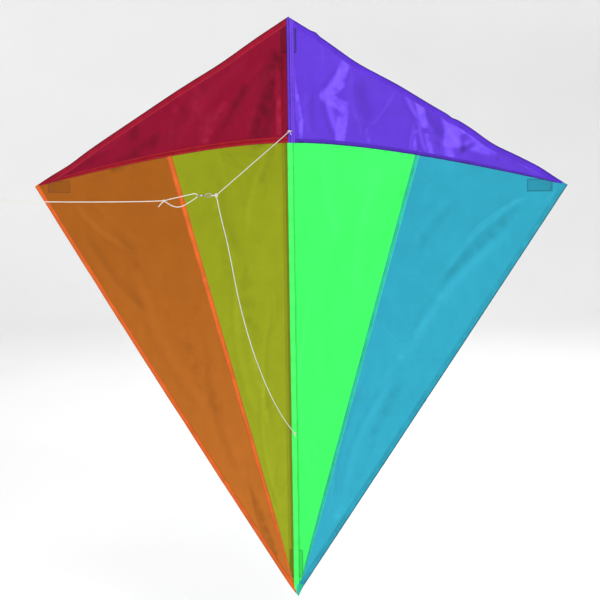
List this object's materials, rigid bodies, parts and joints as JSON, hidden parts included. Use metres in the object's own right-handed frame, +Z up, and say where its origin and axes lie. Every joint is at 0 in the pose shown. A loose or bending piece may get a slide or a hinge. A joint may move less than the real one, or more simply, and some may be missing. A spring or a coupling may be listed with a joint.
{
  "type": "diamond kite",
  "caption": "Flat diamond kite: sewn cloth sail stretched by a spine and a bowed cross spar, with a two-leg bridle, a snap swivel and a flying line.",
  "frame": {"origin": "centre of the flat back pad of the fitting where the spine and the cross spar meet", "axes": "+Z up the spine towards the nose, +Y out of the back of the kite, +X towards the right wing seen from the front"},
  "size_m": [0.7045, 0.241, 0.759],
  "materials": {
    "sail_red": "thin glossy coated cloth",
    "sail_purple": "thin glossy coated cloth",
    "sail_orange": "thin glossy coated cloth",
    "sail_olive": "thin glossy coated cloth",
    "sail_green": "thin glossy coated cloth",
    "sail_blue": "thin glossy coated cloth",
    "pocket_cloth": "woven heavy cloth",
    "rod": "pultruded fibre rod, satin",
    "vinyl": "soft moulded vinyl",
    "string": "twisted string",
    "nickel": "nickel-plated wire"
  },
  "bodies": {
    "kite": {"nose_panel_left": "sail_red", "nose_panel_right": "sail_purple", "outer_panel_left": "sail_orange", "inner_panel_left": "sail_olive", "inner_panel_right": "sail_green", "outer_panel_right": "sail_blue", "wing_pocket_left": "pocket_cloth", "wing_pocket_right": "pocket_cloth", "nose_pocket": "pocket_cloth", "tail_pocket": "pocket_cloth", "spar_cap_left": "vinyl", "spar_cap_right": "vinyl", "nose_cap": "vinyl", "tail_cap": "vinyl", "spine_rod": "rod", "cross_spar": "rod", "cross_fitting": "vinyl", "stop_ring_upper": "vinyl", "stop_ring_lower": "vinyl", "upper_anchor_tie": "string", "lower_anchor_tie": "string"},
    "bridle": {"upper_bridle_leg": "string", "lower_bridle_leg": "string", "tow_loop": "string"},
    "snap": {"snap_wire": "nickel", "swivel_barrel": "nickel"},
    "gate": {"snap_gate": "nickel"},
    "line": {"swivel_line_eye": "nickel", "line_loop": "string", "line_knot": "string", "flying_line": "string", "end_knot": "string", "end_loop": "string"}
  },
  "joints": [
    {"name": "bridle_swing", "type": "hinge", "parent": "kite", "child": "bridle", "pos_m": [0, -0.0157, 0], "axis": [0, 0, 1], "range_deg": [-45, 110]},
    {"name": "snap_swing", "type": "hinge", "parent": "bridle", "child": "snap", "pos_m": [-0.0776, -0.1313, -0.0014], "axis": [0, 0, 1], "range_deg": [-110, 45]},
    {"name": "snap_gate_open", "type": "hinge", "parent": "snap", "child": "gate", "pos_m": [-0.0834, -0.13318, -0.0035], "axis": [0.309, -0.9511, 0], "range_deg": [0, 25], "stiffness_Nm_per_rad": 0.001},
    {"name": "swivel_spin", "type": "hinge", "parent": "snap", "child": "line", "pos_m": [-0.0776, -0.1313, -0.0014], "axis": [-0.9511, -0.309, 0], "continuous": true}
  ],
  "couplings": [
    {"joint": "snap_swing", "follows": "bridle_swing", "ratio": -1}
  ]
}
